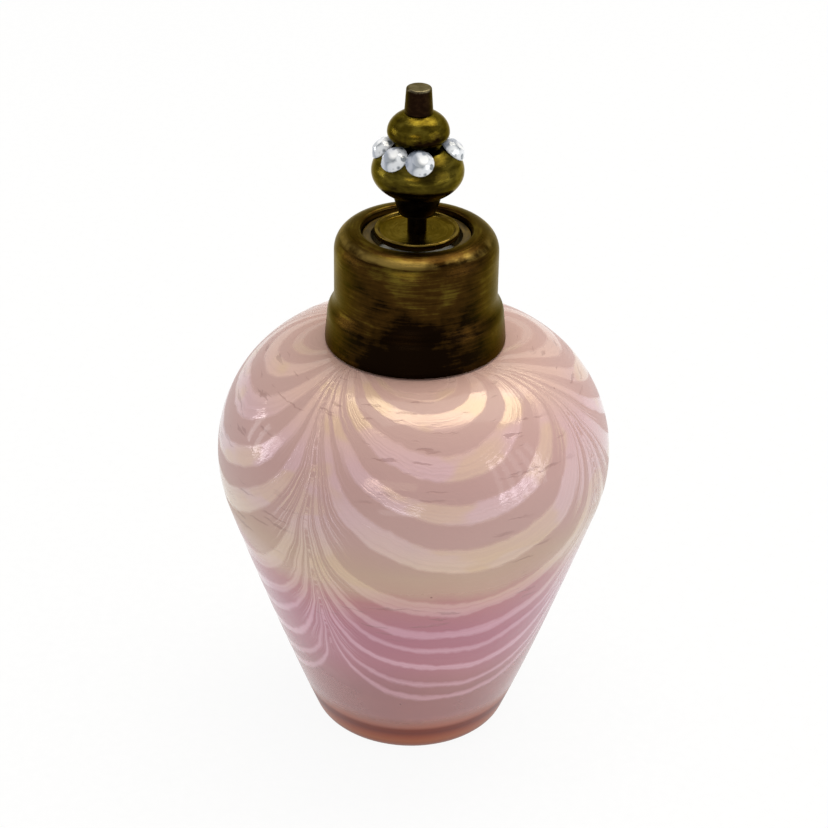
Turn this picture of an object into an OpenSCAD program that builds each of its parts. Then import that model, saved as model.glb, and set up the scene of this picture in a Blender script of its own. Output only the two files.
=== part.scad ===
// Perfume atomiser: a blown glass bottle with a press-top finger pump.
// Origin at the middle of the foot, +Z up, front towards -Y. Millimetres.

/* [Bottle] */
// Largest radius of the bottle, at its belly
belly_r = 35; // [33:0.5:37]
// Height of the belly above the foot
belly_z = 55; // [53:0.5:57]
// Height of the shoulder where it meets the neck
shoulder_z = 76.8; // [75:0.1:76.8]
// Radius of the flat that the bottle stands on
foot_r = 14.5; // [13:0.5:16]
// Radius of the rounding round the foot
heel_r = 3.7; // [2:0.1:4]
// Thickness of the glass wall
wall = 2.8; // [2:0.1:3.2]
// Thickness of the glass under the cavity
floor_t = 6.5; // [5:0.5:8]
// Outer radius of the glass neck
neck_r = 9.9; // [9.5:0.1:10]
// Radius of the bore in the neck
neck_bore_r = 7.5; // [7:0.1:7.8]

/* [Closure] */
// Outer radius of the collar's straight part
collar_r = 14.15; // [14:0.05:14.5]
// Outer radius of the collar's lower edge
skirt_r = 15.75; // [15.5:0.05:16]
// Height of the top of the collar
collar_top = 98; // [97.5:0.1:98.5]

/* [Pump] */
// Travel of the button when it is pressed
stroke = 3; // [2:0.1:3]
// Outer radius of the pump barrel
barrel_r = 5.2; // [5:0.1:6]
// Outer radius of the hollow stem
stem_r = 1.45; // [1.3:0.05:1.5]
// Outer radius of the dip tube
tube_r = 1.5; // [1.2:0.1:1.6]
// Number of turns in the return spring
spring_turns = 6; // [4:1:8]

/* [Finial] */
// Radius of the round plate that is pressed
plate_r = 7.3; // [7:0.1:7.5]
// Radius of the large bead
lower_bead_r = 7.87; // [7.5:0.01:8]
// Radius of the small bead
upper_bead_r = 5.27; // [5:0.01:5.5]
// Height of the tip of the finial
tip_top = 123.5; // [123:0.1:125]
// Diameter of the stones
stone_d = 4.7; // [4.4:0.1:4.8]

/* [Hidden] */

$fn = 96;
gap = 0.05;          // running clearance of one face from the next
cut = 1;             // how far a cutter reaches past what it cuts

// Bottle
heel_lean = 22;      // lean of the wall just above the foot, degrees from upright
belly_lean = 17.8;   // lean of the wall where the belly's arc starts
belly_arc_r = 25;    // radius of the arc under the belly
shoulder_r = 15.6;   // radius at which the shoulder has levelled out
punt_r = 9;          // hollow under the foot
punt_flat_r = 7;
punt_h = 0.8;
neck_top = 89;
neck_root = 1.6;     // fillet between shoulder and neck
neck_edge = 0.6;     // chamfer round the mouth
throat = [1, 2];     // reach of the curve from the shoulder's inside into the bore, across and up
cavity_r = 15.4;     // cavity's flat floor
cavity_fillet = 3;

// Closure
ring_r = 11.8;       // outside of the neck ring, at the thread's pitch line
ring_z = 78.7;
gasket_t = 1;
gasket_bore_r = 7.2;
flange_t = 1.2;
shell = 0.95;        // sheet thickness of the collar
liner_r = collar_r - shell;
liner_z = 79.8;
skirt_z = 77.1;      // lower edge of the collar
skirt_edge = 0.5;    // height of the edge's upright face
step_z = [82.2, 83.9, 86];     // foot, middle and head of the flare between skirt and cylinder
step_r = [15.35, 14.75];       // the same at its foot and middle
step_bend = [[0.1, 0.7], 0.9]; // from the middle to the point that each half bends towards
step_inside = 0.6;   // how far the head of the flare's inside is below its outside
round_z = 94;        // height at which the collar's shoulder starts to round over
recess_r = 9.55;     // well in the top of the collar
recess_lip = 0.55;
recess_z = 93.6;
well_r = [7.85, 9.3];
well_top = 96.7;
well_flange_r = 12.9;   // flange that the slip ring sits on
well_flange_t = 0.6;

// Pump
flange_z = neck_top + gasket_t;
flange_r = 11.4;
flange_top = flange_z + flange_t;
lip_z = flange_top + gap;
lip_r = 9.9;
lip_t = 1.1;
chamber_r = 3.8;
chamber_z = 68.6;
pocket_r = 1.6;      // pocket of the inlet ball
pocket_z = 65.9;
bead_r = 1.2;        // snap bead that keeps the ball in its pocket
bead_t = 0.4;
ball_r = 1.4;
seat_r = 0.8;
spigot_r = 2.7;
spigot_z = 58.5;
socket_z = 63.5;
seat_z = 65;
barrel_z = 64.2;
gland_r = 8.6;
gland_t = 1;
gland_top = flange_top + gland_t;
gland_plug_z = 84.3;
seal_z = 86;
seal_t = 1.6;
seal_r = 2.7;
piston_l = 4;
piston_gap = 0.3;    // below the gland's plug
piston_z = [gland_plug_z - piston_gap - piston_l, gland_plug_z - piston_gap];
piston_land = 0.9;   // height of each of the two lips that seal
piston_waist_r = 3.2;
piston_web = 0.6;    // from the piston's lower face to the stem's lower end
nipple_r = 1;
nipple_top = 99.5;
duct_r = 0.5;
tube_bottom = 9;
tube_wall = 0.5;
tube_cut = 35;       // slant of its lower end
spring_wire_r = 0.28;
spring_r = 2.9;
rest_gap = 0.02;     // clearance of the spring and the ball from their seats

// Finial
hub_r = 3.2;
hub_gap = 0.4;       // left over the gland when the button is down
hub_z = gland_top + stroke + hub_gap;
plate_z = 96.7;
plate_t = 0.8;
plate_edge = 0.3;    // chamfer round the plate's underside, and slope inside its rim
plate_crown = 0.1;   // rise of the plate towards the stem
rim_top = 98.05;
rim_w = 0.7;
rim_edge = 0.2;
stem_top = 104.4;
stem_neck_z = 100.9;
stem_neck_r = 1.65;
stem_skirt_r = 3.15;
stem_skirt_h = 0.3;
stem_wide = [3.7, 102.2];     // what the stem's flare bends towards
stem_seat_r = 4.2;
spindle_r = 1.3;
spindle_top = 120.5;
lower_z = 108.6;     // height of the large bead's widest line
lower_up = 5.45;     // height of its upper half if it closed to a point
lower_down = 5;
upper_z = 115.6;
upper_up = 3.9;
upper_down = 2.6;
bead_joint_z = 113;
bead_neck_r = 2.5;
bead_neck_h = 0.3;
tip_z = 119.05;
tip_r = [2.44, 2.15];
tip_round = 0.35;
duct_top = 115.9;
nozzle_r = 0.95;
nozzle_hole_r = 0.15;
nozzle_face = 0.25;  // depth of the flat that the nozzle sits in
nozzle_duct_r = 0.3;
nozzle_l = 1.6;

// Stones: height and radius of the middle of each one's flat back, and the way that it leans
stone_z = 112;
stone_at = 5.65;
stone_up = 50;
stone_seat = 0.05;
stone_slack = 0.3;   // extra width of the flat that it is stuck to
stone_girdle = [0.1, 0.35];
stone_table = [0.52, 1.6];   // radius over the stone's own, and height
flat_h = 3;
STONES = [3, -43, -95, 92, -145, 180, 145];   // degrees round from the front, right is positive

// ---- outlines ----
function bezier(a, b, c, n) =
    [for (i = [0:n]) let (t = i / n) (1 - t) * (1 - t) * a + 2 * t * (1 - t) * b + t * t * c];
function arc(centre, rx, rz, a0, a1, n) =
    [for (i = [0:n]) let (a = a0 + (a1 - a0) * i / n) centre + [rx * cos(a), rz * sin(a)]];
// Where the line through a with the given lean meets the line through b with its own
function meet(a, lean_a, b, lean_b) =
    a + ((b.x - a.x) - tan(lean_b) * (b.y - a.y)) / (tan(lean_a) - tan(lean_b)) * [tan(lean_a), 1];
// Wall from the heel up to the middle of the belly, moved inwards by t
function flank(start, t) =
    let (hub = [belly_r - belly_arc_r, belly_z],
         top = hub + (belly_arc_r - t) * [cos(belly_lean), -sin(belly_lean)])
    concat(bezier(start, meet(start, heel_lean, top, belly_lean), top, 18),
           arc(hub, belly_arc_r - t, belly_arc_r - t, -belly_lean, 0, 8));
function shoulder(t) =
    arc([shoulder_r, belly_z], belly_r - shoulder_r - t, shoulder_z - belly_z - t, 0, 90, 24);

function glass_outside() =
    let (heel = arc([foot_r, heel_r], heel_r, heel_r, -90, -heel_lean, 8))
    concat([[0, punt_h], [punt_flat_r, punt_h], [punt_r, 0]],
           heel,
           flank(heel[8], 0),
           shoulder(0),
           arc([neck_r + neck_root, shoulder_z + neck_root], neck_root, neck_root, 270, 180, 6),
           [[neck_r, neck_top - neck_edge], [neck_r - neck_edge, neck_top]]);
function glass_inside() =
    let (corner = arc([cavity_r, floor_t + cavity_fillet], cavity_fillet, cavity_fillet,
                      -90, -heel_lean, 8))
    concat([[0, floor_t]],
           corner,
           flank(corner[8], wall),
           shoulder(wall),
           bezier([shoulder_r - throat.x, shoulder_z - wall], [neck_bore_r, shoulder_z - wall],
                  [neck_bore_r, shoulder_z + throat.y], 8),
           [[neck_bore_r, neck_top + cut], [0, neck_top + cut]]);

// Quarter of a bead's outline, from its joint below to its joint above
function bead(r, z, down, up, z0, z1) =
    let (below = arc([0, z], r, down, -asin((z - z0) / down), 0, 12),
         above = arc([0, z], r, up, 0, asin((z1 - z) / up), 12))
    concat(below, [for (i = [1:12]) above[i]]);

// ---- shared shapes ----
module tube(r_out, r_in, z0, z1) {
    translate([0, 0, z0])
        difference() {
            cylinder(r = r_out, h = z1 - z0);
            translate([0, 0, -cut]) cylinder(r = r_in, h = z1 - z0 + 2 * cut);
        }
}
module bore(r, z0, z1) {
    translate([0, 0, z0]) cylinder(r = r, h = z1 - z0);
}
module at_stone(turn) {
    rotate([0, 0, turn - 90])
        translate([stone_at, 0, stone_z])
            rotate([0, 90 - stone_up, 0])
                children();
}
// Places its children on the nozzle's axis, which points to the back, y from the middle
module to_nozzle(y) {
    translate([0, y, upper_z]) rotate([-90, 0, 0]) children();
}

// ---- bottle ----
module glass_bottle() {
    color([0.93, 0.72, 0.76, 0.6])
        difference() {
            rotate_extrude() polygon(concat(glass_outside(), [[0, neck_top]]));
            rotate_extrude() polygon(glass_inside());
        }
}
module neck_ring() {
    color("goldenrod") tube(ring_r, neck_r, ring_z, neck_top);
}
module neck_gasket() {
    color("dimgray") tube(flange_r, gasket_bore_r, neck_top, flange_z);
}

// ---- closure ----
module collar() {
    inner_r = collar_r - shell;
    outside = concat([[skirt_r, skirt_z], [skirt_r, skirt_z + skirt_edge]],
                     bezier([step_r[0], step_z[0]],
                            [step_r[0] - step_bend[0].x, step_z[1] - step_bend[0].y],
                            [step_r[1], step_z[1]], 6),
                     bezier([step_r[1], step_z[1]], [collar_r, step_z[1] + step_bend[1]],
                            [collar_r, step_z[2]], 6),
                     arc([recess_r + recess_lip, round_z], collar_r - recess_r - recess_lip,
                         collar_top - round_z, 0, 90, 16),
                     arc([recess_r + recess_lip, collar_top - recess_lip], recess_lip, recess_lip,
                         100, 180, 6));
    inside = concat([[recess_r, recess_z], [recess_r + shell, recess_z]],
                    arc([recess_r + shell, round_z], inner_r - recess_r - shell,
                        collar_top - round_z - shell, 90, 0, 12),
                    [[inner_r, step_z[2] - step_inside], [step_r[0] - shell, step_z[0]],
                     [skirt_r - shell, skirt_z]]);
    color([0.42, 0.34, 0.12]) rotate_extrude() polygon(concat(outside, inside));
}
module collar_liner() {
    color("ivory")
        difference() {
            bore(liner_r, liner_z, lip_z + lip_t);
            bore(ring_r + gap, liner_z - cut, lip_z);
            bore(lip_r, lip_z - cut, lip_z + lip_t + cut);
        }
}
module well_ring() {
    foot_z = lip_z + lip_t + gap;
    color([0.55, 0.43, 0.25]) {
        difference() {
            union() {
                bore(well_r[1], foot_z, well_top);
                bore(well_flange_r, foot_z, foot_z + well_flange_t);
            }
            bore(well_r[0], foot_z - cut, well_top + cut);
        }
    }
}

// ---- pump ----
module pump_housing() {
    color("whitesmoke")
        difference() {
            union() {
                bore(flange_r, flange_z, flange_top);
                bore(barrel_r, barrel_z, flange_z);
                bore(spigot_r, spigot_z, barrel_z);
            }
            bore(chamber_r, chamber_z, flange_top + cut);
            bore(bead_r, chamber_z - bead_t, chamber_z + cut);
            bore(pocket_r, pocket_z, chamber_z - bead_t);
            translate([0, 0, seat_z]) cylinder(r1 = seat_r, r2 = pocket_r, h = pocket_z - seat_z);
            bore(seat_r, socket_z - cut, seat_z);
            bore(tube_r, spigot_z - cut, socket_z);
        }
}
module pump_gland() {
    color("white")
        difference() {
            union() {
                bore(gland_r, flange_top, gland_top);
                bore(chamber_r, gland_plug_z, flange_top);
            }
            bore(stem_r + gap, gland_plug_z - cut, gland_top + cut);
            bore(seal_r, seal_z, seal_z + seal_t);
        }
}
module stem_seal() {
    color("black") tube(seal_r, stem_r + gap, seal_z, seal_z + seal_t);
}
module piston() {
    color("lightblue")
        difference() {
            union() {
                bore(chamber_r - gap, piston_z[0], piston_z[0] + piston_land);
                bore(piston_waist_r, piston_z[0], piston_z[1]);
                bore(chamber_r - gap, piston_z[1] - piston_land, piston_z[1]);
            }
            bore(stem_r, piston_z[0] + piston_web, piston_z[1] + cut);
            bore(duct_r, piston_z[0] - cut, piston_z[0] + cut);
        }
}
module pump_stem() {
    color("gainsboro")
        difference() {
            union() {
                bore(stem_r, piston_z[0] + piston_web, hub_z);
                bore(nipple_r, hub_z, nipple_top);
            }
            bore(duct_r, piston_z[0], nipple_top + cut);
        }
}
// Return spring: a round wire swept along a helix, between the chamber's floor and the piston
module return_spring() {
    sides = 8;
    steps = 20 * spring_turns;
    z0 = chamber_z + spring_wire_r + rest_gap;
    rise = piston_z[0] - spring_wire_r - rest_gap - z0;
    points = [for (i = [0:steps]) for (k = [0:sides - 1])
        let (a = 360 * spring_turns * i / steps, b = 360 * k / sides,
             r = spring_r + spring_wire_r * cos(b))
        [r * cos(a), r * sin(a), z0 + rise * i / steps + spring_wire_r * sin(b)]];
    skin = [for (i = [0:steps - 1]) for (k = [0:sides - 1])
        let (k2 = (k + 1) % sides)
        [i * sides + k, i * sides + k2, (i + 1) * sides + k2, (i + 1) * sides + k]];
    ends = [[for (k = [sides - 1:-1:0]) k], [for (k = [0:sides - 1]) steps * sides + k]];
    color("silver") polyhedron(points, concat(skin, ends), convexity = 8);
}
module inlet_ball() {
    lean = atan((pocket_r - seat_r) / (pocket_z - seat_z));
    tip = seat_z - seat_r / tan(lean);
    color("silver") translate([0, 0, tip + ball_r / sin(lean) + rest_gap]) sphere(r = ball_r, $fn = 48);
}
module dip_tube() {
    color([0.9, 0.9, 0.9, 0.5])
        difference() {
            bore(tube_r, tube_bottom, socket_z);
            bore(tube_r - tube_wall, tube_bottom - cut, socket_z + cut);
            translate([-tube_r * 2, -tube_r * 2, tube_bottom - tube_r * 3])
                rotate([tube_cut, 0, 0]) cube([tube_r * 4, tube_r * 6, tube_r * 2]);
        }
}

// ---- finial, the part that is pressed ----
module button_plate() {
    rim_in = plate_r - rim_w;
    color([0.45, 0.37, 0.14])
        difference() {
            rotate_extrude() polygon([[0, hub_z], [hub_r, hub_z], [hub_r, plate_z],
                [plate_r - plate_edge, plate_z], [plate_r, plate_z + plate_edge],
                [plate_r, rim_top - rim_edge], [plate_r - rim_edge, rim_top],
                [rim_in + rim_edge, rim_top], [rim_in, rim_top - rim_edge],
                [rim_in - plate_edge, plate_z + plate_t], [0, plate_z + plate_t + plate_crown]]);
            bore(nipple_r + gap, hub_z - cut, rim_top);
        }
}
module finial_stem() {
    z0 = plate_z + plate_t + plate_crown;
    color([0.2, 0.15, 0.06])
        difference() {
            union() {
                rotate_extrude() polygon(concat([[0, z0], [stem_neck_r, z0],
                    [stem_neck_r, stem_neck_z], [stem_skirt_r, stem_neck_z]],
                    bezier([stem_skirt_r, stem_neck_z + stem_skirt_h], stem_wide,
                           [stem_seat_r, stem_top], 8),
                    [[0, stem_top]]));
                bore(spindle_r, stem_top - cut, spindle_top);
            }
            bore(nipple_r + gap, z0 - cut, nipple_top + gap);
            bore(duct_r, nipple_top - cut, duct_top);
            to_nozzle(0) cylinder(r = nozzle_duct_r, h = spindle_r + cut);
        }
}
module lower_bead() {
    color([0.38, 0.33, 0.11])
        difference() {
            rotate_extrude() polygon(concat([[0, stem_top]],
                bead(lower_bead_r, lower_z, lower_down, lower_up, stem_top, bead_joint_z),
                [[0, bead_joint_z]]));
            bore(spindle_r, stem_top - cut, bead_joint_z + cut);
            for (turn = STONES) {
                at_stone(turn) cylinder(d = stone_d + stone_slack, h = flat_h);
            }
        }
}
module upper_bead() {
    color([0.38, 0.33, 0.11])
        difference() {
            rotate_extrude() polygon(concat([[0, bead_joint_z], [bead_neck_r, bead_joint_z]],
                bead(upper_bead_r, upper_z, upper_down, upper_up,
                     bead_joint_z + bead_neck_h, tip_z),
                [[0, tip_z]]));
            bore(spindle_r, bead_joint_z - cut, tip_z + cut);
            to_nozzle(upper_bead_r - nozzle_face) cylinder(r = 2 * nozzle_r, h = cut);
            to_nozzle(upper_bead_r - nozzle_l) cylinder(r = nozzle_r, h = nozzle_l);
            to_nozzle(0) cylinder(r = nozzle_duct_r, h = upper_bead_r - nozzle_l + cut);
        }
}
module finial_tip() {
    color([0.25, 0.16, 0.08])
        difference() {
            rotate_extrude() polygon(concat([[0, tip_z], [tip_r[0], tip_z]],
                arc([tip_r[1] - tip_round, tip_top - tip_round], tip_round, tip_round, 0, 90, 6),
                [[0, tip_top]]));
            bore(spindle_r, tip_z - cut, spindle_top);
        }
}
module nozzle_insert() {
    color("black")
        to_nozzle(upper_bead_r - nozzle_l)
            difference() {
                cylinder(r = nozzle_r, h = nozzle_l - nozzle_face);
                translate([0, 0, -cut]) cylinder(r = nozzle_hole_r, h = nozzle_l + 2 * cut);
            }
}
// A flat-backed brilliant: thin girdle, conical crown and a flat table
module stone(turn) {
    r = stone_d / 2;
    color([0.85, 0.88, 0.92])
        at_stone(turn)
            translate([0, 0, stone_seat])
                rotate_extrude($fn = 48)
                    polygon([[0, 0], [r - stone_girdle[0], 0], [r, stone_girdle[0]], [r, stone_girdle[1]],
                             [r * stone_table.x, stone_table.y], [0, stone_table.y]]);
}

glass_bottle();
neck_ring();
neck_gasket();
collar();
collar_liner();
well_ring();
pump_housing();
pump_gland();
stem_seal();
piston();
pump_stem();
return_spring();
inlet_ball();
dip_tube();
button_plate();
finial_stem();
lower_bead();
upper_bead();
finial_tip();
nozzle_insert();
stone(STONES[0]);  // rhinestone_1
stone(STONES[1]);  // rhinestone_2
stone(STONES[2]);  // rhinestone_3
stone(STONES[3]);  // rhinestone_4
stone(STONES[4]);  // rhinestone_5
stone(STONES[5]);  // rhinestone_6
stone(STONES[6]);  // rhinestone_7
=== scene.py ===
import math

import bmesh
import bpy
from mathutils import Matrix, Vector, noise


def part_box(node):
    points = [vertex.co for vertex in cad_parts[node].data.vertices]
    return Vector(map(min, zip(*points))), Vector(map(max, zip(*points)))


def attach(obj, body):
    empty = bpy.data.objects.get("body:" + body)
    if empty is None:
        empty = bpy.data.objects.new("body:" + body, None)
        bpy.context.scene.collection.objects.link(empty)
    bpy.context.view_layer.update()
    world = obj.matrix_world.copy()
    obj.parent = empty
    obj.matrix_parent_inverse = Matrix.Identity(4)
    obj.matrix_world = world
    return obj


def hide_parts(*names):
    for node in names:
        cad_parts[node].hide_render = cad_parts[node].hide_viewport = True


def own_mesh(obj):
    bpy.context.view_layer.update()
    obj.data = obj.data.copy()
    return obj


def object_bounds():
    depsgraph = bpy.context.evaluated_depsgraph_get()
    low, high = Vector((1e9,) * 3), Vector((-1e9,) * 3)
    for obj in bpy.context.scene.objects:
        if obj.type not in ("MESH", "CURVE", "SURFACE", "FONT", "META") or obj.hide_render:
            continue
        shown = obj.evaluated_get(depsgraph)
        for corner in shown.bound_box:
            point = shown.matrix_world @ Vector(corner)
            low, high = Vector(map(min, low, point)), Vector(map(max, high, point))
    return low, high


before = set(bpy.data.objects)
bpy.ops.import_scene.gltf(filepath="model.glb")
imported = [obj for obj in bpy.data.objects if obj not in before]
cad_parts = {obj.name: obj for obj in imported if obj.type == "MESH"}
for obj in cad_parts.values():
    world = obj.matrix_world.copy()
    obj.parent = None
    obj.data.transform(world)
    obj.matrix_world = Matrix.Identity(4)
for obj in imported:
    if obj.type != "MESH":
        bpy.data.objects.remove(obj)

MM = 0.001
cad_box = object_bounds()
HEIGHT = cad_box[1].z
scene = bpy.context.scene
scene.view_settings.view_transform = "Standard"


# ---------------------------------------------------------------- camera
def make_camera():
    """A long lens that looks down on the bottle's front, with the slight roll of a hand-held shot."""
    elevation = math.radians(29.5)
    roll = math.radians(0.9)
    distance = 426.4 * MM
    aim = Vector((0, 0, 0.4978 * HEIGHT))
    data = bpy.data.cameras.new("camera")
    data.lens = 104.35
    data.sensor_width = 36
    data.clip_start = 0.01
    camera = bpy.data.objects.new("camera", data)
    turn = Matrix.Rotation(math.pi / 2 - elevation, 4, "X") @ Matrix.Rotation(roll, 4, "Z")
    back = Vector((0, -math.cos(elevation), math.sin(elevation)))
    camera.matrix_world = Matrix.Translation(aim + distance * back) @ turn
    scene.collection.objects.link(camera)
    scene.camera = camera


# ---------------------------------------------------------------- arithmetic with shader nodes
class Num:
    """A number that a shader works out, so that a formula over the surface reads as one."""

    def __init__(self, tree, socket):
        self.tree = tree
        self.socket = socket

    def op(self, name, *others):
        node = self.tree.nodes.new("ShaderNodeMath")
        node.operation = name
        for slot, value in zip(node.inputs, (self,) + others):
            if isinstance(value, Num):
                self.tree.links.new(value.socket, slot)
            else:
                slot.default_value = value
        return Num(self.tree, node.outputs[0])

    def __add__(self, other):
        return self.op("ADD", other)

    def __sub__(self, other):
        return self.op("SUBTRACT", other)

    def __mul__(self, other):
        return self.op("MULTIPLY", other)

    def __truediv__(self, other):
        return self.op("DIVIDE", other)

    def smooth(self, low, high):
        """0 below low, 1 above high, and a soft step between them; low may be the larger."""
        node = self.tree.nodes.new("ShaderNodeMapRange")
        node.interpolation_type = "SMOOTHSTEP"
        self.tree.links.new(self.socket, node.inputs["Value"])
        node.inputs["From Min"].default_value = low
        node.inputs["From Max"].default_value = high
        return Num(self.tree, node.outputs["Result"])


class Paint:
    """A material under construction: its Principled shader, and the helpers that feed it."""

    def __init__(self, name):
        self.material = bpy.data.materials.new(name)
        self.material.use_nodes = True
        self.tree = self.material.node_tree
        self.shader = self.tree.nodes["Principled BSDF"]

    def set(self, **values):
        for name, value in values.items():
            self.shader.inputs[name.replace("_", " ")].default_value = value

    def link(self, name, source):
        socket = source.socket if isinstance(source, Num) else source
        self.tree.links.new(socket, self.shader.inputs[name])

    def point(self):
        """Position on the piece, in millimetres, as three numbers."""
        coordinates = self.tree.nodes.new("ShaderNodeTexCoord")
        split = self.tree.nodes.new("ShaderNodeSeparateXYZ")
        self.tree.links.new(coordinates.outputs["Object"], split.inputs[0])
        return [Num(self.tree, split.outputs[i]) * 1000 for i in range(3)]

    def vector(self, x, y, z):
        join = self.tree.nodes.new("ShaderNodeCombineXYZ")
        for slot, value in zip(join.inputs, (x, y, z)):
            if isinstance(value, Num):
                self.tree.links.new(value.socket, slot)
            else:
                slot.default_value = value
        return join.outputs[0]

    def noise(self, where, scale, detail=3.0, roughness=0.5):
        node = self.tree.nodes.new("ShaderNodeTexNoise")
        node.inputs["Scale"].default_value = scale
        node.inputs["Detail"].default_value = detail
        node.inputs["Roughness"].default_value = roughness
        self.tree.links.new(where, node.inputs["Vector"])
        return Num(self.tree, node.outputs["Fac"])

    def cells(self, where, scale):
        """Distance to the nearest of a scatter of points, as a share of their spacing."""
        node = self.tree.nodes.new("ShaderNodeTexVoronoi")
        node.inputs["Scale"].default_value = scale
        self.tree.links.new(where, node.inputs["Vector"])
        return Num(self.tree, node.outputs["Distance"])

    def ramp(self, value, stops):
        """Colour by position; stops are (place from 0 to 1, sRGB colour)."""
        node = self.tree.nodes.new("ShaderNodeValToRGB")
        ramp = node.color_ramp
        while len(ramp.elements) < len(stops):
            ramp.elements.new(1.0)
        for element, (place, colour) in zip(ramp.elements, stops):
            element.position = place
            element.color = linear(colour)
        self.tree.links.new(value.socket, node.inputs[0])
        return node.outputs[0]

    def mix(self, amount, a, b):
        node = self.tree.nodes.new("ShaderNodeMix")
        node.data_type = "RGBA"
        for slot, value in ((0, amount), (6, a), (7, b)):
            if isinstance(value, Num):
                self.tree.links.new(value.socket, node.inputs[slot])
            elif isinstance(value, bpy.types.NodeSocket):
                self.tree.links.new(value, node.inputs[slot])
            else:
                node.inputs[slot].default_value = value
        return node.outputs[2]

    def bump(self, height, strength, distance):
        node = self.tree.nodes.new("ShaderNodeBump")
        node.inputs["Strength"].default_value = strength
        node.inputs["Distance"].default_value = distance
        self.tree.links.new(height.socket, node.inputs["Height"])
        self.tree.links.new(node.outputs[0], self.shader.inputs["Normal"])


def linear(colour):
    """An sRGB colour, 0 to 255, as the linear colour that a shader takes."""
    return [(c / 255 / 12.92 if c < 10.3 else ((c / 255 + 0.055) / 1.055) ** 2.4) for c in colour] + [1.0]


# ---------------------------------------------------------------- turned shapes
SHARP = math.radians(24)      # a bend in an outline above this is an edge, and is kept
TRIM = 0.35                   # the most of a side of an outline that rounding a corner may take
SAME = 1e-6                   # metres; points closer than this are one


def outline(node):
    """The section that a turned CAD node was spun from, as (radius, height) points in order.

    A section that starts on the axis ends there too; any other is a closed loop."""
    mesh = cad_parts[node].data
    places = [(round(math.hypot(v.co.x, v.co.y), 5), round(v.co.z, 5)) for v in mesh.vertices]
    links = {place: set() for place in places}
    for edge in mesh.edges:
        a, b = (places[i] for i in edge.vertices)
        if a != b:
            links[a].add(b)
            links[b].add(a)
    ends = sorted(place for place, near in links.items() if len(near) == 1)
    path = [ends[0] if ends else min(links)]
    while True:
        onward = [p for p in sorted(links[path[-1]]) if p not in path]
        if not onward:
            break
        path.append(onward[0])
    if ends:
        path = [(0.0, path[0][1])] + path + [(0.0, path[-1][1])]
    return path


def bend(a, b, c):
    """The angle by which a path turns at b."""
    before = math.atan2(b[1] - a[1], b[0] - a[0])
    after = math.atan2(c[1] - b[1], c[0] - b[0])
    return abs((after - before + math.pi) % math.tau - math.pi)


def refine(path, closed, step, edge):
    """Rounds the sharp corners of a section by edge, and fills its curves in to about one point a step."""
    count = len(path)
    sharp = []
    for i, here in enumerate(path):
        inner = closed or 0 < i < count - 1
        sharp.append(not inner or bend(path[i - 1], here, path[(i + 1) % count]) > SHARP)
    points = []
    for i in range(count if closed else count - 1):
        p1, p2 = Vector(path[i]), Vector(path[(i + 1) % count])
        s1, s2 = sharp[i], sharp[(i + 1) % count]
        p0 = p1 if s1 else Vector(path[i - 1])
        p3 = p2 if s2 else Vector(path[(i + 2) % count])
        length = (p2 - p1).length
        trim = min(edge, length * TRIM)
        start = trim if s1 and (closed or i > 0) else 0.0
        stop = length - (trim if s2 and (closed or i < count - 2) else 0.0)
        pieces = max(1, round((stop - start) / step))
        for k in range(pieces + 1):
            t = (start + (stop - start) * k / pieces) / length
            tangent1 = (p2 - p0) / 2 if not s1 else p2 - p1
            tangent2 = (p3 - p1) / 2 if not s2 else p2 - p1
            if tangent1.length > 0:
                tangent1 = tangent1.normalized() * length
            if tangent2.length > 0:
                tangent2 = tangent2.normalized() * length
            point = ((2 * t ** 3 - 3 * t ** 2 + 1) * p1 + (t ** 3 - 2 * t ** 2 + t) * tangent1
                     + (3 * t ** 2 - 2 * t ** 3) * p2 + (t ** 3 - t ** 2) * tangent2)
            if not points or (point - points[-1]).length > SAME:
                points.append(point)
        if s2 and trim > 0 and (closed or i < count - 2):
            after = Vector(path[(i + 2) % count])
            leave = p2 + (after - p2).normalized() * min(edge, (after - p2).length * TRIM)
            arrive = points[-1]
            for k in (1, 2, 3):
                t = k / 4
                points.append((1 - t) ** 2 * arrive + 2 * t * (1 - t) * p2 + t * t * leave)
    if closed and (points[0] - points[-1]).length < SAME:
        points.pop()
    return points


def spin(name, points, closed, segments, shape=None):
    """Turns a section round the Z axis. shape(radius, height, angle) may move each point a little."""
    mesh = bpy.data.meshes.new(name)
    build = bmesh.new()
    rings = []
    for radius, height in points:
        if radius < SAME:
            rings.append([build.verts.new((0, 0, height))])
            continue
        ring = []
        for k in range(segments):
            angle = math.tau * k / segments
            r, z = shape(radius, height, angle) if shape else (radius, height)
            ring.append(build.verts.new((r * math.cos(angle), r * math.sin(angle), z)))
        rings.append(ring)
    pairs = list(zip(rings, rings[1:])) + ([(rings[-1], rings[0])] if closed else [])
    for low, high in pairs:
        for k in range(segments):
            j = (k + 1) % segments
            corners = [low[k % len(low)], low[j % len(low)], high[j % len(high)], high[k % len(high)]]
            corners = [c for i, c in enumerate(corners) if c not in corners[:i]]
            if len(corners) > 2:
                build.faces.new(corners)
    bmesh.ops.recalc_face_normals(build, faces=build.faces)
    build.to_mesh(mesh)
    build.free()
    mesh.shade_smooth()
    piece = bpy.data.objects.new(name, mesh)
    scene.collection.objects.link(piece)
    return piece


def turned(node, name, segments=160, step=0.4 * MM, edge=0.15 * MM, shape=None):
    """A smooth copy of a turned CAD node, with its edges softened."""
    path = outline(node)
    closed = path[0][0] > 0
    return spin(name, refine(path, closed, step, edge), closed, segments, shape)


def place(piece, body, slot, material, *nodes):
    """Finishes a piece: its material, its body and the CAD nodes that it stands for; slot is not used."""
    if material is not None:
        piece.data.materials.append(material)
    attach(piece, body)
    if nodes:
        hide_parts(*nodes)


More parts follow.
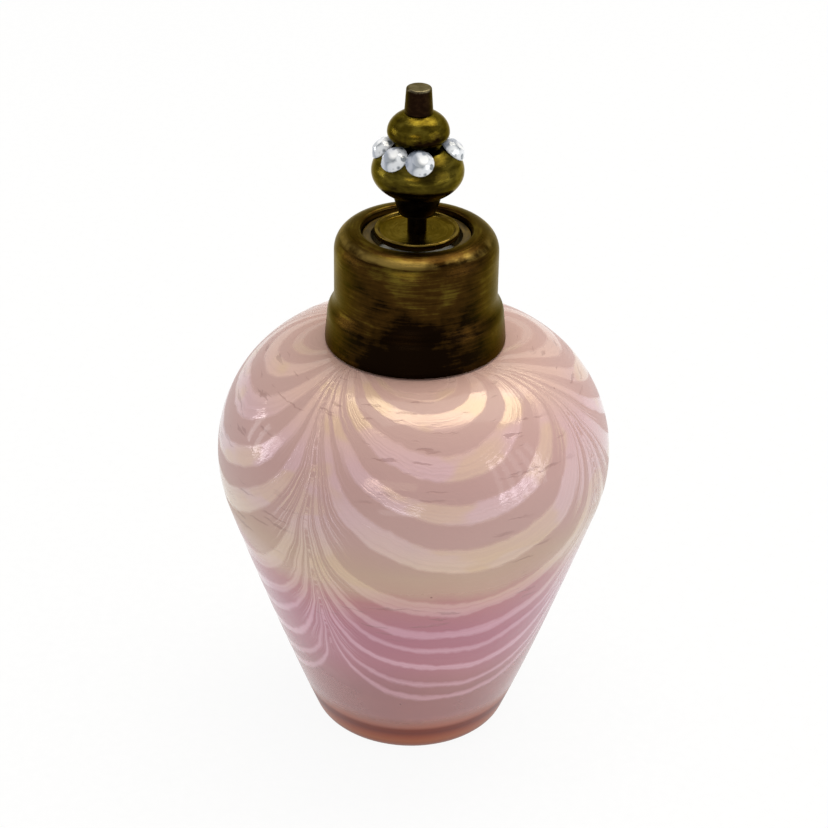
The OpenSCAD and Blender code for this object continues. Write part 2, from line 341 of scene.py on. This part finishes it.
# ---------------------------------------------------------------- bottle
BELLY_Z = 55.0                # mm, where the shoulder's curve meets the wall
NECK_R = 15.6                 # mm, radius at which the shoulder starts
ARC = 20.6                    # mm along the shoulder for each radian round its curve
FLATTEN = 0.89                # width of the shoulder's curve over its height
WALL = 1.05                   # mm along the wall for each mm of height
DOWN = 92.3                   # mm over the surface from the collar to the foot
FOOT_TOP = 12.0               # mm, height that the foot's colours reach
BOTTLE_SIDES = 256
PULL_EVERY = 90               # degrees from one pulled-up point of the threads to the next
PULL_TURN = 30                # degrees from the front round to the nearest of them
PULL_RISE = 13.5              # mm that the threads rise for each unit of pull
PULL_SPREAD = 0.115           # share by which their spacing grows for each unit of pull
EDGE = 0.5                    # mm, half the soft edge of a thread
THREADS = [                   # (distance down from the collar, width, strength) of each pale thread, mm
    (5.0, 2.0, 0.5), (10.7, 3.4, 0.9), (18.5, 4.2, 0.9), (26.8, 3.5, 0.9), (35.2, 4.8, 0.8),
    (47.6, 3.2, 0.7), (54.5, 1.9, 0.8), (59.1, 1.2, 0.8), (64.4, 1.5, 0.9), (69.8, 1.2, 0.8),
    (73.4, 1.3, 0.8),
]
GROUND = [                    # colour of the glass between the threads, by distance down as a share of DOWN
    (0.00, (184, 150, 140)), (0.12, (180, 149, 144)), (0.24, (180, 146, 142)), (0.34, (184, 152, 146)),
    (0.41, (184, 156, 140)), (0.46, (181, 147, 132)), (0.50, (170, 114, 116)), (0.60, (164, 104, 118)),
    (0.70, (166, 108, 118)), (0.80, (186, 130, 128)), (1.00, (186, 128, 120)),
]
FOOT = [                      # colour of the thick glass of the foot, by height as a share of FOOT_TOP
    (0.00, (92, 42, 24)), (0.12, (112, 54, 30)), (0.24, (138, 74, 42)), (0.34, (126, 58, 32)),
    (0.44, (98, 36, 20)), (0.53, (106, 42, 24)), (0.60, (150, 92, 76)), (0.78, (166, 110, 98)),
    (0.95, (174, 118, 112)),
]
PALE = [                      # colour of the pale threads, by distance down
    (0.00, (204, 172, 162)), (0.12, (208, 174, 164)), (0.20, (204, 170, 176)), (0.30, (208, 178, 180)),
    (0.38, (211, 187, 169)), (0.50, (204, 168, 160)), (0.58, (200, 152, 166)), (0.70, (206, 160, 172)),
    (1.00, (204, 156, 164)),
]
LUSTRE = [                    # colour of the glass's reflections, by distance down
    (0.00, (255, 236, 196)), (0.15, (255, 232, 200)), (0.22, (250, 226, 240)), (0.34, (244, 236, 250)),
    (0.42, (250, 240, 196)), (0.56, (250, 222, 244)), (1.00, (255, 236, 240)),
]


def surface(paint, x, y, z):
    """Where a point of the glass is: mm down over it from the collar, degrees round it, and three noises."""
    cloud = paint.noise(paint.vector(x, y, z), 0.05, 2.0)
    ripple = paint.noise(paint.vector(x, y, z), 0.07, 1.0)
    waver = paint.noise(paint.vector(x, y, z), 0.6, 3.0)
    radius = (x * x + y * y).op("SQRT")
    above = (z - BELLY_Z).op("MAXIMUM", 0.0)
    below = (z * -1 + BELLY_Z).op("MAXIMUM", 0.0)
    down = (radius - NECK_R).op("ARCTAN2", above * FLATTEN) * ARC + below * WALL
    down = down + (ripple - 0.5) * 3.0 + (waver - 0.5) * 1.0
    swirl = (down / -11).op("EXPONENT") * 18
    turn = x.op("ARCTAN2", y * -1) * (180 / math.pi) + swirl + (cloud - 0.5) * 8
    return down, turn, cloud, ripple, waver


def feather(paint, down, turn):
    """How pale the glass is, from threads that were pulled up every quarter turn, and the streaks in them.

    pull is 0 midway between two of the points and grows towards each of them."""
    uneven = ((turn + PULL_TURN) * (math.pi / 180)).op("COSINE") * 5 - 5
    from_pull = (turn + (PULL_TURN + 360) + uneven).op("PINGPONG", PULL_EVERY / 2)
    pull = (from_pull * (math.pi / PULL_EVERY)).op("SINE").op("MAXIMUM", 0.015)
    pull = pull.op("LOGARITHM", math.e) * -1
    thread = (down + pull * PULL_RISE) / (pull * PULL_SPREAD + 1)
    pale = None
    for centre, width, strength in THREADS:
        off = (thread - centre).op("ABSOLUTE")
        band = off.smooth(width / 2 + EDGE, width / 2 - EDGE) * strength
        pale = band if pale is None else pale.op("MAXIMUM", band)
    streak = paint.noise(paint.vector(thread * 1.5, turn * 0.01, 0.0), 1.0, 3.0, 0.6)
    pale = pale * (streak.smooth(0.3, 0.6) * 0.3 + 0.7)
    fine = streak.smooth(0.48, 0.58) * pull.smooth(0.6, 1.6) * down.smooth(68.0, 52.0) * 0.85
    return pale.op("MAXIMUM", fine) * down.smooth(82.0, 74.0), streak


def bottle_skin():
    """Lustred pink glass with threads that were pulled up into points at four places."""
    paint = Paint("bottle_skin")
    x, y, z = paint.point()
    down, turn, cloud, ripple, waver = surface(paint, x, y, z)
    pale, streak = feather(paint, down, turn)
    along = (down + (cloud - 0.5) * 9) / DOWN

    # threads, with patches of painted warm sheen on the shoulder, over the ground colour; then painted shade
    # along creases and a few dark seeds
    painted_sheen = paint.noise(paint.vector(x, y, z * 2), 0.06, 2.0)
    painted_sheen = painted_sheen.smooth(0.5, 0.58) * down.smooth(50.0, 40.0) * 0.6
    lit = paint.mix(painted_sheen, paint.ramp(along, PALE), linear((206, 178, 140)))
    colour = paint.mix(pale * 0.88, paint.ramp(along, GROUND), lit)
    colour = paint.mix(z.smooth(10.5, 8.5), colour, paint.ramp(z / FOOT_TOP, FOOT))
    # Painted shade: the glass is painted darker along its creases.
    crease_and_shade = paint.noise(paint.vector(turn * 0.06, down * 0.9, 0.0), 1.0, 2.0).smooth(0.62, 0.67)
    crease_and_shade = crease_and_shade * cloud.smooth(0.45, 0.55) * down.smooth(58.0, 50.0)
    colour = paint.mix(crease_and_shade * 0.4, colour, linear((128, 92, 88)))
    seed = paint.cells(paint.vector(x, y, z), 0.12).smooth(0.04, 0.02)
    colour = paint.mix(seed * 0.7, colour, linear((96, 52, 48)))
    paint.link("Base Color", colour)

    # the threads and the lower wall are glossy, the rest is satin, and the glass clears towards the foot
    glossy = (pale.smooth(0.1, 0.6) * 0.9 + down.smooth(36.0, 46.0) * 0.5).op("MINIMUM", 1.0)
    glossy = glossy * down.smooth(83.0, 80.0)
    paint.link("Specular IOR Level", glossy * 0.85 + 0.15)
    paint.link("Specular Tint", paint.ramp(along, LUSTRE))
    paint.link("Roughness", glossy * -0.37 + 0.42)
    clear = down.smooth(62.0, 74.0) * (pale * -0.7 + 1) * down.smooth(84.0, 79.0)
    paint.link("Transmission Weight", clear * 0.4 + down.smooth(84.0, 78.0) * 0.14)
    paint.set(IOR=1.5, Coat_Weight=0.2, Coat_Roughness=0.04)
    relief = pale * 0.3 + streak * down.smooth(70.0, 60.0) * 0.5 + waver * 0.4 - crease_and_shade * 0.4
    paint.bump(relief + ripple * 2.0 + cloud * 3.0, 0.3, 0.3 * MM)
    return paint.material


def bottle_inside():
    """The cavity's wall: clear pink glass."""
    paint = Paint("bottle_inside")
    x, y, z = paint.point()
    ripple = paint.noise(paint.vector(x, y, z), 0.12, 2.0)
    paint.link("Base Color", paint.ramp(ripple, [(0.2, (232, 196, 192)), (0.8, (242, 212, 204))]))
    paint.set(Roughness=0.1, IOR=1.5, Transmission_Weight=0.8)
    paint.bump(ripple, 0.3, 0.4 * MM)
    return paint.material


UNEVEN = 0.004                # share of the radius by which the bottle may be thinner


def blown(radius, height, angle):
    """The slight unevenness of blown glass, always inwards."""
    where = Vector((math.cos(angle) * 1.3, math.sin(angle) * 1.3, height * 40))
    return radius * (1 - UNEVEN * (0.5 + 0.5 * noise.noise(where))), height


def make_bottle():
    points = refine(outline("glass_bottle"), closed=False, step=0.7 * MM, edge=0.3 * MM)
    bottle = spin("bottle", points, False, BOTTLE_SIDES, blown)
    for corner in bottle.data.vertices:
        corner.co.z = max(corner.co.z, 0.0)
    bottle.data.materials.append(bottle_skin())
    bottle.data.materials.append(bottle_inside())
    mouth = max(range(len(points)), key=lambda i: points[i].y)
    first_inside = mouth * BOTTLE_SIDES
    for face in bottle.data.polygons:
        if face.vertices[0] > first_inside and face.vertices[-1] > first_inside:
            face.material_index = 1
    place(bottle, "bottle", "bottle_glass", None, "glass_bottle")


# ---------------------------------------------------------------- metal
def brass(name, dark, mid, bright, wear_and_highlight=None, shade=None, streak=1.0, roughness=0.3, painted_dark_reflection=None,
          wear_and_highlight_colour=(130, 108, 54), metallic=1.0):
    """Aged brass, brushed round its axis.

    A band between two heights is painted in a lighter colour: a painted highlight round the top of the
    collar's shoulder, rubbed finish on the tip and a brighter rim on the plate.
    Over a second pair of heights a painted shade, darker towards the bottom, clears, to a given depth. A
    dark patch, with its middle and reach, is a painted reflection of dark surroundings."""
    paint = Paint(name)
    x, y, z = paint.point()
    turn = x.op("ARCTAN2", y * -1)
    radius = (x * x + y * y).op("SQRT")
    fine = 2.0 * streak
    brushed = paint.noise(paint.vector(turn * 2.2, z * fine, radius * fine), 1.0, 5.0, 0.65)
    patches = paint.noise(paint.vector(x, y, z), 0.16, 4.0, 0.6)
    grain = paint.noise(paint.vector(x, y, z), 3.0, 2.0)
    tone = brushed * 0.5 + patches * 0.55 - 0.02
    # Painted shade: the metal is painted darker below the heights given and lighter above them.
    if shade:
        low, high, depth = shade
        tone = tone + (z + (patches - 0.5) * 3).smooth(low, high) * depth - depth
    # Painted reflection: a dark patch round a given point, where the metal reflects dark surroundings.
    if painted_dark_reflection:
        (sx, sy, sz), reach = painted_dark_reflection
        away = ((x - sx) * (x - sx) + (y - sy) * (y - sy) + (z - sz) * (z - sz)).op("SQRT")
        tone = tone - (away + (patches - 0.5) * 12).smooth(reach, reach * 0.3) * 0.2
    colour = paint.ramp(tone, [(0.3, dark), (0.5, mid), (0.74, bright)])
    # A band painted lighter between two heights: a painted highlight round the top of the collar's shoulder,
    # and rubbed finish on the tip.
    if wear_and_highlight:
        low, high = wear_and_highlight
        level = z + (brushed - 0.5) * 1.0
        amount = level.smooth(low - 0.3, low + 0.3) * level.smooth(high + 0.3, high - 0.3)
        colour = paint.mix(amount * patches.smooth(0.35, 0.6), colour, linear(wear_and_highlight_colour))
    paint.link("Base Color", colour)
    paint.link("Roughness", brushed * 0.25 + grain * 0.1 + (roughness - 0.16))
    paint.set(Metallic=metallic, Anisotropic=0.3, Specular_Tint=linear((237, 225, 188)))
    paint.bump(brushed * 0.7 + grain * 0.15 + patches * 0.8, 0.4, 0.12 * MM)
    return paint.material


def make_collar():
    # The collar gets a painted shade towards its foot, a painted dark reflection low on its front and a
    # painted highlight round the top of its shoulder.
    metal = brass("collar_metal", (16, 8, 3), (56, 37, 11), (106, 92, 32), wear_and_highlight=(96.5, 97.3),
                  shade=(78.0, 97.0, 0.12), painted_dark_reflection=((-1.0, -15.0, 79.0), 12.0))
    collar = turned("collar", "collar_shell", segments=192, step=0.3 * MM, edge=0.2 * MM)
    place(collar, "closure", "collar_brass", metal, "collar")
    metal = brass("well_metal", (26, 18, 8), (74, 58, 20), (116, 94, 38), streak=0.6, roughness=0.4,
                  metallic=0.5)
    ring = turned("well_ring", "well_sleeve")
    place(ring, "slip_ring", "well_brass", metal, "well_ring")


def bead_outline(radius, middle, low, high, low_r, high_r, foot=None):
    """Section of a bead from low to high, widest at middle, with the given radii at its two ends.

    foot: the height down to which it goes on as a cylinder below low."""
    def half(end, end_r):
        reach = abs(end - middle) / math.sqrt(1 - (end_r / radius) ** 2)
        last = math.asin((end - middle) / reach)
        angles = [last * k / 20 for k in range(21)]
        return [(radius * math.cos(a), middle + reach * math.sin(a)) for a in angles]

    start = [(0.0, low)] if foot is None else [(0.0, foot), (low_r, foot)]
    path = start + half(low, low_r)[::-1] + half(high, high_r)[1:] + [(0.0, high)]
    return [Vector(point) for point in path]


def make_finial():
    """The button's plate, the stem, the two beads and the tip."""
    metal = brass("plate_metal", (34, 22, 4), (82, 64, 14), (132, 112, 44), wear_and_highlight=(97.95, 99.0),
                  streak=1.5, roughness=0.2)
    plate = turned("button_plate", "plate", segments=160, step=0.3 * MM, edge=0.12 * MM)
    place(plate, "actuator", "plate_brass", metal, "button_plate")

    metal = brass("tip_metal", (14, 7, 3), (27, 15, 8), (52, 36, 20), wear_and_highlight=(123.25, 125.0),
                  streak=0.8, roughness=0.35, wear_and_highlight_colour=(112, 104, 80))
    tip = turned("finial_tip", "tip", segments=96, step=0.2 * MM, edge=0.1 * MM)
    place(tip, "actuator", "tip_brass", metal, "finial_tip")

    # Painted shade: the large bead is painted darker towards its underside.
    metal = brass("large_bead_metal", (20, 11, 4), (66, 56, 14), (124, 110, 40),
                  shade=(104.5, 110.5, 0.26), streak=0.5, roughness=0.2)
    low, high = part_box("lower_bead")
    points = bead_outline(high.x, middle=low.z + 4.2 * MM, low=low.z, high=high.z,
                          low_r=4.25 * MM, high_r=4.6 * MM)
    large = spin("large_bead", points, False, 160)
    place(large, "actuator", "bead_brass", metal, "lower_bead")

    # Painted shade: the small bead is painted darker towards its underside.
    metal = brass("small_bead_metal", (20, 9, 4), (76, 64, 14), (130, 116, 42),
                  shade=(114.0, 117.6, 0.32), streak=0.5, roughness=0.2)
    low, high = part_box("upper_bead")
    points = bead_outline(high.x, middle=low.z + 2.6 * MM, low=low.z + 0.3 * MM, high=high.z,
                          low_r=2.45 * MM, high_r=2.45 * MM, foot=low.z)
    small = spin("small_bead", points, False, 160)
    drill(small, "nozzle_insert")
    place(small, "actuator", "bead_brass", metal, "upper_bead")

    metal = brass("stem_metal", (6, 3, 2), (12, 7, 4), (40, 30, 14), streak=0.8, roughness=0.3)
    finish_node("finial_stem", metal)


def drill(piece, node):
    """Cuts the seat of a small round insert, and a flat round it, through the side of a bead."""
    low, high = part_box(node)
    middle = (low + high) / 2
    length = 4 * MM
    seat, flat = high.x, high.x * 1.9
    for radius, start in ((seat, low.y), (flat, high.y)):
        bpy.ops.mesh.primitive_cylinder_add(vertices=48, radius=radius, depth=length,
                                            location=(0, start + length / 2, middle.z),
                                            rotation=(math.pi / 2, 0, 0))
        cutter = bpy.context.object
        cut = piece.modifiers.new("cut", "BOOLEAN")
        cut.object = cutter
        cut.solver = "EXACT"
        bpy.context.view_layer.update()
        graph = bpy.context.evaluated_depsgraph_get()
        mesh = bpy.data.meshes.new_from_object(piece.evaluated_get(graph))
        piece.modifiers.clear()
        piece.data = mesh
        bpy.data.objects.remove(cutter)
    piece.data.set_sharp_from_angle(angle=math.radians(30))


# ---------------------------------------------------------------- stones
STONE_LEAN = math.radians(50)     # of a stone's axis above the horizontal
STONE_RINGS = [               # (share of the radius, share of the height, corners, turn in corners)
    (0.96, 0.0, 24, 0.0), (1.0, 0.08, 24, 0.0), (1.0, 0.22, 24, 0.0),
    (0.82, 0.62, 12, 0.5), (0.56, 1.0, 12, 0.0),
]
TABLE, CROWN, BACK = range(3)     # a stone's materials


def crystal(name, bright, grey):
    """Clear cut glass over foil, painted with glints in cells; a stone at the side is painted duller and
    bluer than one at the front, as painted shade.
    """
    paint = Paint(name)
    x, y, z = paint.point()
    # Painted glints: cells over the facets are painted bright or grey.
    flash = paint.cells(paint.vector(x, y, z), 0.45)
    tint = paint.ramp(flash, [(0.2, grey), (0.27, bright), (0.5, bright), (0.7, grey)])
    # Painted shade: stones at the sides are painted duller and bluer than those at the front.
    side = paint.mix(0.8, tint, linear((150, 160, 182)))
    out = paint.noise(paint.vector(x, y, z), 0.5, 2.0)
    front = (y * -1 - x.op("ABSOLUTE") * 0.6 + out).smooth(-2.0, 1.0)
    paint.link("Base Color", paint.mix(front, side, tint))
    paint.link("Roughness", flash.smooth(0.3, 0.8) * 0.15 + 0.03)
    paint.set(IOR=1.6, Transmission_Weight=0.2, Coat_Weight=1.0, Coat_Roughness=0.02)
    return paint.material


def foil():
    """The bright foil behind a stone."""
    paint = Paint("foil")
    x, y, z = paint.point()
    haze = paint.noise(paint.vector(x, y, z), 1.2, 3.0)
    paint.link("Base Color", paint.ramp(haze, [(0.35, (190, 196, 206)), (0.65, (250, 250, 252))]))
    paint.set(Metallic=1.0, Roughness=0.25)
    return paint.material


def cut_stone(name, radius, thick):
    """A flat-backed brilliant: the convex shape round its rings of corners, with its back down."""
    build = bmesh.new()
    for share, rise, count, offset in STONE_RINGS:
        for k in range(count):
            angle = math.tau * (k + offset) / count
            spot = (math.cos(angle) * share * radius, math.sin(angle) * share * radius, rise * thick)
            build.verts.new(spot)
    bmesh.ops.convex_hull(build, input=build.verts)
    loose = [v for v in build.verts if not v.link_faces]
    bmesh.ops.delete(build, geom=loose, context="VERTS")
    bmesh.ops.dissolve_limit(build, angle_limit=math.radians(1), verts=build.verts, edges=build.edges)
    mesh = bpy.data.meshes.new(name)
    build.to_mesh(mesh)
    build.free()
    for face in mesh.polygons:
        up = face.normal.z
        face.material_index = BACK if up < -0.9 else TABLE if up > 0.8 else CROWN
    return mesh


def make_stone(index, materials):
    """A brilliant on a foil back, set where its CAD node is."""
    node = f"rhinestone_{index}"
    corners = [v.co.copy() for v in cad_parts[node].data.vertices]
    low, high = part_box(node)
    middle = (low + high) / 2
    level = Vector((middle.x, middle.y, 0)).normalized()
    axis = level * math.cos(STONE_LEAN) + Vector((0, 0, math.sin(STONE_LEAN)))
    heights = [c.dot(axis) for c in corners]
    base, thick = min(heights), max(heights) - min(heights)
    radius = max((c - middle - axis * (c - middle).dot(axis)).length for c in corners)
    centre = middle + axis * (base - middle.dot(axis))
    across = axis.orthogonal().normalized()
    frame_axes = Matrix((across, axis.cross(across), axis)).transposed().to_4x4()
    mesh = cut_stone(f"stone_{index}", radius, thick)
    for material in materials:
        mesh.materials.append(material)
    piece = bpy.data.objects.new(f"stone_{index}", mesh)
    scene.collection.objects.link(piece)
    piece.matrix_world = Matrix.Translation(centre) @ frame_axes
    place(piece, "actuator", "stone_glass", None, node)


# ---------------------------------------------------------------- pump
def plastic(name, colour, roughness=0.35, clear=0.0, grit=0.15):
    """Moulded plastic or rubber; clear is how much light passes through it, grit how rough it feels."""
    paint = Paint(name)
    x, y, z = paint.point()
    grain = paint.noise(paint.vector(x, y, z), 2.5, 3.0)
    flow = paint.noise(paint.vector(x, y, z), 0.15, 2.0)
    shade = [c * 0.9 for c in colour]
    paint.link("Base Color", paint.ramp(flow, [(0.3, shade), (0.7, colour)]))
    paint.link("Roughness", grain * 0.2 + (roughness - 0.1))
    paint.set(Transmission_Weight=clear, IOR=1.5)
    paint.bump(grain, grit, 0.05 * MM)
    return paint.material


def steel(name):
    """Bright drawn steel."""
    paint = Paint(name)
    x, y, z = paint.point()
    drawn = paint.noise(paint.vector(x, y, z), 2.0, 3.0)
    paint.link("Base Color", paint.ramp(drawn, [(0.3, (150, 152, 156)), (0.7, (206, 208, 212))]))
    paint.set(Metallic=1.0, Roughness=0.25)
    return paint.material


def finish_node(node, material):
    """Gives a CAD node that stays as it is its material."""
    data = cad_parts[node].data
    data.materials.clear()
    data.materials.append(material)


def make_spring(material):
    """The return spring: a round wire on a helix."""
    low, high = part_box("return_spring")
    wire = 0.28 * MM
    coil = high.x - wire
    turns, sides, steps = 6, 12, 40
    build = bmesh.new()
    rings = []
    for i in range(turns * steps + 1):
        share = i / (turns * steps)
        angle = math.tau * turns * share
        centre = Vector((0, 0, low.z + wire + (high.z - low.z - 2 * wire) * share))
        out = Vector((math.cos(angle), math.sin(angle), 0))
        ring = []
        for k in range(sides):
            a = math.tau * k / sides
            rise = Vector((0, 0, wire * math.sin(a)))
            ring.append(build.verts.new(centre + out * (coil + wire * math.cos(a)) + rise))
        rings.append(ring)
    for a, b in zip(rings, rings[1:]):
        for k in range(sides):
            j = (k + 1) % sides
            build.faces.new((a[k], b[k], b[j], a[j]))
    build.faces.new(rings[0])
    build.faces.new(rings[-1][::-1])
    bmesh.ops.recalc_face_normals(build, faces=build.faces)
    mesh = bpy.data.meshes.new("spring")
    build.to_mesh(mesh)
    build.free()
    mesh.shade_smooth()
    spring = bpy.data.objects.new("spring", mesh)
    scene.collection.objects.link(spring)
    place(spring, "pump", "spring_steel", material, "return_spring")
    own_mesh(spring)


def make_pump():
    white = plastic("pump_white", (226, 226, 220))
    finish_node("pump_housing", white)
    finish_node("pump_gland", white)
    finish_node("piston", plastic("piston_blue", (176, 196, 212)))
    finish_node("pump_stem", plastic("stem_white", (216, 216, 212)))
    finish_node("collar_liner", plastic("liner_ivory", (216, 208, 190)))
    finish_node("nozzle_insert", plastic("nozzle_black", (26, 26, 26)))
    finish_node("dip_tube", plastic("tube_clear", (236, 236, 236), roughness=0.2, clear=0.5, grit=0.02))
    rubber = plastic("rubber_black", (30, 30, 30), roughness=0.6)
    finish_node("neck_gasket", rubber)
    finish_node("stem_seal", rubber)
    metal = steel("bright_steel")
    finish_node("inlet_ball", metal)
    make_spring(metal)
    make_neck_ring()


def make_neck_ring():
    """The ferrule on the neck, with its screw thread cut into the outside."""
    low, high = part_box("neck_ring")
    pitch = 1.5 * MM
    depth = 0.55 * MM
    bottom, top = low.z + 1.0 * MM, high.z - 0.6 * MM     # where the thread starts and ends

    def cut(radius, height, angle):
        if radius < high.x - 0.01 * MM or height < bottom or height > top:
            return radius, height
        phase = ((height - low.z) / pitch - angle / math.tau) % 1
        return radius - depth * (0.5 + 0.5 * math.cos(math.tau * phase)), height

    ring = turned("neck_ring", "neck_ferrule", segments=144, step=0.12 * MM, edge=0.15 * MM, shape=cut)
    metal = brass("ferrule_metal", (86, 64, 28), (140, 110, 56), (188, 158, 92), streak=0.8, roughness=0.35)
    place(ring, "bottle", "hidden_brass", metal, "neck_ring")


# ---------------------------------------------------------------- studio
LIT = Vector((0, 0, 0.06))    # the point that the lights face


def make_floor():
    """White paper, far wider than the view, just under the foot."""
    bpy.ops.mesh.primitive_plane_add(size=60, location=(0, 0, -0.05 * MM))
    floor = bpy.context.object
    floor.name = "floor"
    paint = Paint("floor_paper")
    x, y, z = paint.point()
    tooth = paint.noise(paint.vector(x, y, z), 0.5, 3.0)
    paint.link("Base Color", paint.ramp(tooth, [(0.3, (60, 60, 59)), (0.7, (66, 66, 65))]))
    paint.set(Roughness=0.9, Specular_IOR_Level=0.0, Emission_Color=(1, 1, 1, 1), Emission_Strength=0.93)
    floor.data.materials.append(paint.material)


def make_light(name, where, size, power, along=None, colour=(1, 1, 1)):
    """A softbox that faces the object, its longer side level unless along says which way it runs."""
    data = bpy.data.lights.new(name, "AREA")
    data.shape = "RECTANGLE"
    data.size, data.size_y = size
    data.energy = power
    data.color = colour
    light = bpy.data.objects.new(name, data)
    back = (Vector(where) - LIT).normalized()
    side = Vector(along) if along else Vector((0, 0, 1)).cross(back)
    side = (side - back * side.dot(back)).normalized()
    turn = Matrix((side, back.cross(side), back)).transposed().to_4x4()
    light.matrix_world = Matrix.Translation(where) @ turn
    scene.collection.objects.link(light)


def make_panes(name, start, step, count, height, length, power):
    """The narrow panes of a window at one side of the object, seen as a row of streaks in the glass."""
    for k in range(count):
        angle = math.radians(start + step * k)
        where = (math.cos(angle), math.sin(angle), height)
        make_light(f"{name}_{k}", where, (0.06, length), power)


def make_studio():
    world = bpy.data.worlds.new("studio")
    scene.world = world
    world.use_nodes = True
    sky = world.node_tree.nodes["Background"]
    sky.inputs["Color"].default_value = (1, 1, 1, 1)
    sky.inputs["Strength"].default_value = 0.65
    make_floor()
    make_light("overhead", (0.16, 0.16, 0.85), (0.9, 0.5), 6.8, along=(1.0, 0.25, 0.0),
               colour=(1.0, 0.94, 0.82))
    make_light("front", (-0.2, -0.9, 0.45), (0.5, 0.12), 0.9, colour=(1.0, 0.86, 0.6))
    make_light("low", (-0.12, -1.0, 0.06), (0.4, 0.08), 0.5)
    make_panes("right_pane", start=-40, step=7, count=5, height=0.32, length=0.6, power=0.5)
    make_panes("left_pane", start=160, step=8, count=3, height=0.2, length=0.36, power=0.45)


make_camera()
make_bottle()
make_collar()
make_finial()
# The table's copy is painted brighter than the crown's: painted light on the same glass.
stone_materials = (crystal("crystal_table", (246, 248, 252), (140, 146, 154)),
                   crystal("crystal_crown", (226, 230, 236), (120, 128, 136)), foil())
for stone in range(1, 8):
    make_stone(stone, stone_materials)
make_pump()
make_studio()
